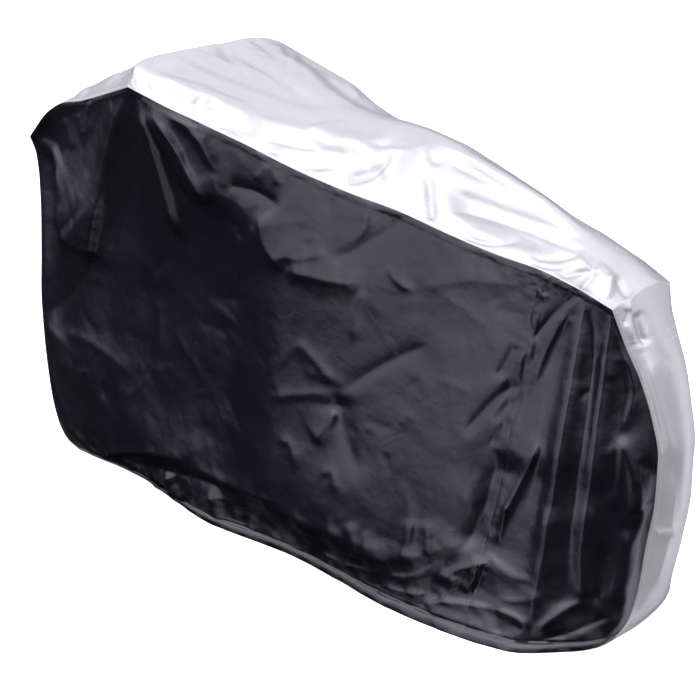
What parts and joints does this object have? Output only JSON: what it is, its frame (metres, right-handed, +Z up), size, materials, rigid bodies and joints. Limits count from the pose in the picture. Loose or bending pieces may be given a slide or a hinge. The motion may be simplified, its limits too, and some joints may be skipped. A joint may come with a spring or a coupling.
{
  "type": "bicycle cover",
  "caption": "Fitted bicycle cover of thin coated cloth, draped in its standing shape: silver strip along the top and down the rear, glossy black sides gathered to an elastic hem, hollow inside.",
  "frame": {"origin": "on the floor, under the middle of the cover", "axes": "X runs along the cover with its wide, high end towards -X; Y runs across it, its left side at -Y; Z is up"},
  "size_m": [1.809, 0.6056, 1.055],
  "materials": {
    "black_cloth": "satin",
    "silver_cloth": "satin"
  },
  "bodies": {
    "root": {"left_side_panel": "black_cloth", "left_rear_panel": "black_cloth", "right_side_panel": "black_cloth", "right_rear_panel": "black_cloth", "front_gusset": "black_cloth", "top_strip": "silver_cloth", "rear_strip": "silver_cloth"}
  },
  "joints": []
}
